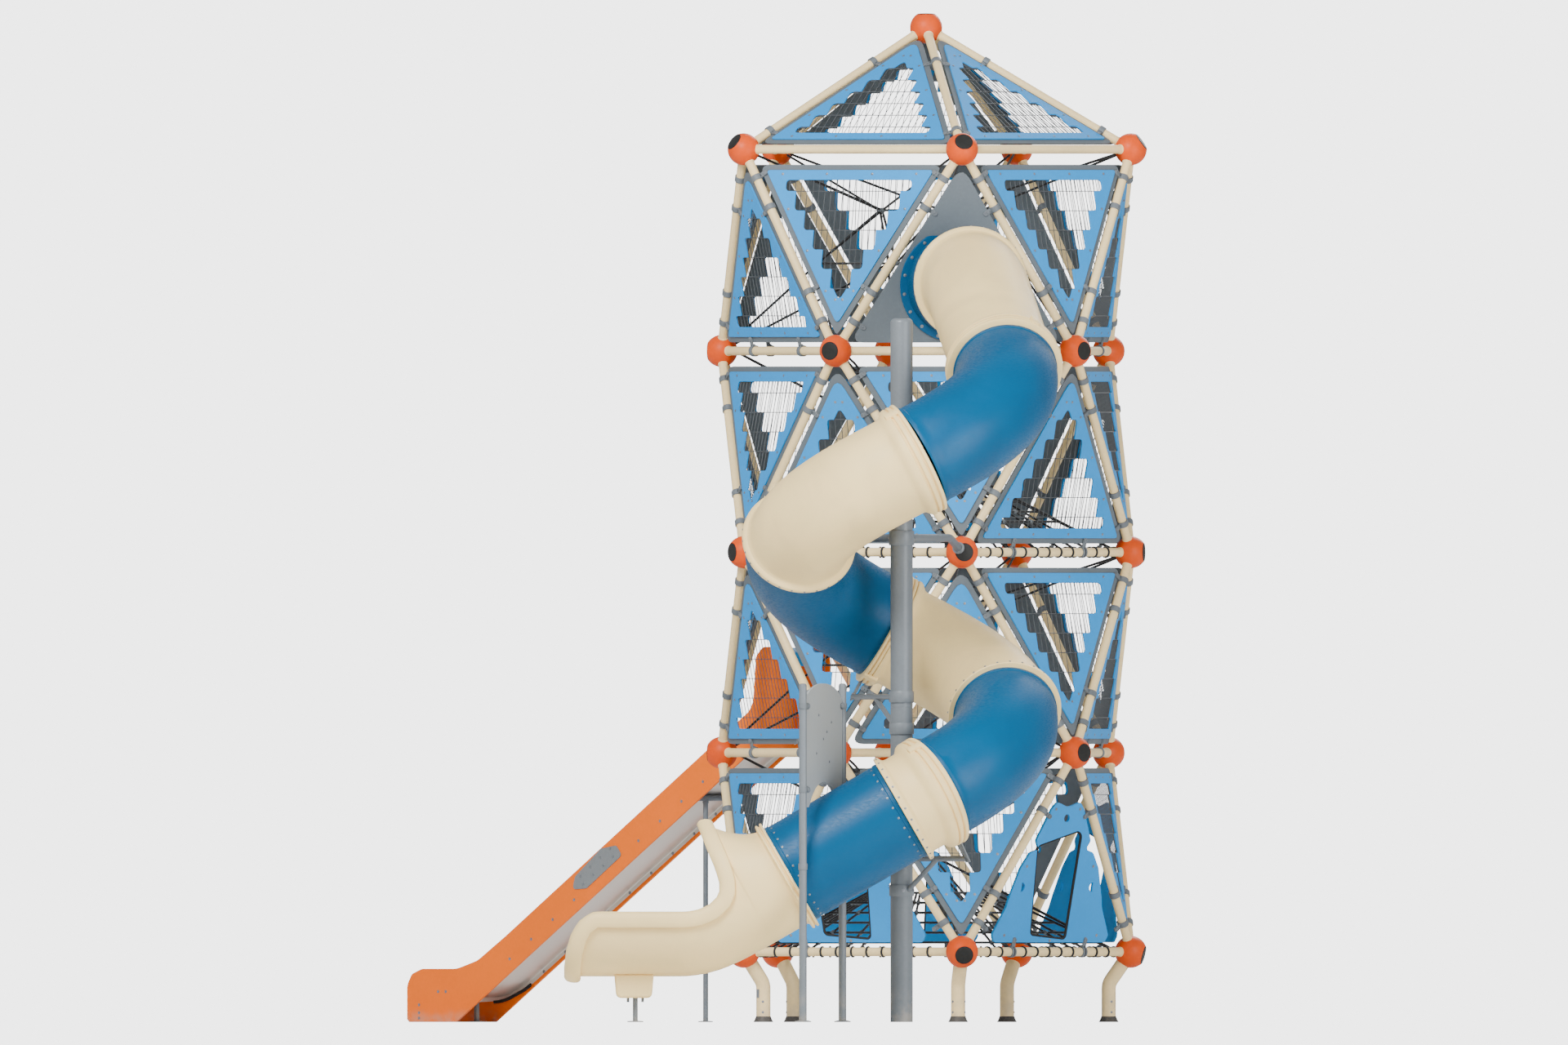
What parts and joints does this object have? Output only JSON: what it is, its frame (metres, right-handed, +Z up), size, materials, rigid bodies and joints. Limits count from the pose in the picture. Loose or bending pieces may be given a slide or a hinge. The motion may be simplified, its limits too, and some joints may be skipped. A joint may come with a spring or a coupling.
{
  "type": "playground climbing tower with slides",
  "caption": "Tall pentagonal node-and-tube playground tower with mesh panels, a spiral tube slide on its own mast, a gantry over the end of that tube and a straight slide.",
  "frame": {"origin": "centre of the tube slide's mast where it meets the ground", "axes": "+Z up, +Y from the mast towards the tower behind it, -X the way the tube slide's exit points"},
  "size_m": [5.5734, 8.5991, 7.601],
  "materials": {
    "frame_beige": "powder-coated steel tube, semi-gloss",
    "hub_orange": "powder-coated cast ball, semi-gloss",
    "panel_blue": "solid polyethylene sheet, satin",
    "tube_blue": "moulded polyethylene, semi-gloss",
    "tube_beige": "moulded polyethylene, semi-gloss",
    "steel_grey": "powder-coated galvanised steel, satin",
    "board_orange": "solid polyethylene sheet, satin",
    "slide_steel": "brushed stainless sheet",
    "board_grey": "solid sheet, satin"
  },
  "bodies": {
    "root": {"frame_level_1": "frame_beige", "frame_level_2": "frame_beige", "frame_level_3": "frame_beige", "frame_level_4": "frame_beige", "frame_level_5": "frame_beige", "apex_hub": "hub_orange", "leg_1": "frame_beige", "leg_2": "frame_beige", "leg_3": "frame_beige", "leg_4": "frame_beige", "leg_5": "frame_beige", "level_1_panels": "panel_blue", "level_2_panels": "panel_blue", "level_3_panels": "panel_blue", "level_4_panels": "panel_blue", "roof_panels": "panel_blue", "tube_entry": "tube_blue", "tube_elbow": "tube_beige", "tube_bend_1": "tube_blue", "tube_bend_2": "tube_beige", "tube_bend_3": "tube_blue", "tube_bend_4": "tube_beige", "tube_bend_5": "tube_blue", "tube_short": "tube_beige", "tube_straight": "tube_blue", "exit_chute": "tube_beige", "chute_foot": "tube_beige", "mast": "steel_grey", "mast_arms": "steel_grey", "flange_bracket_1": "steel_grey", "flange_bracket_2": "steel_grey", "slide_board_near": "board_orange", "slide_board_far": "board_orange", "slide_bed": "slide_steel", "slide_hood": "panel_blue", "slide_support": "steel_grey", "slide_exit_post": "steel_grey", "gantry_post_front": "steel_grey", "gantry_post_back": "steel_grey", "gantry_board": "board_grey"}
  },
  "joints": []
}
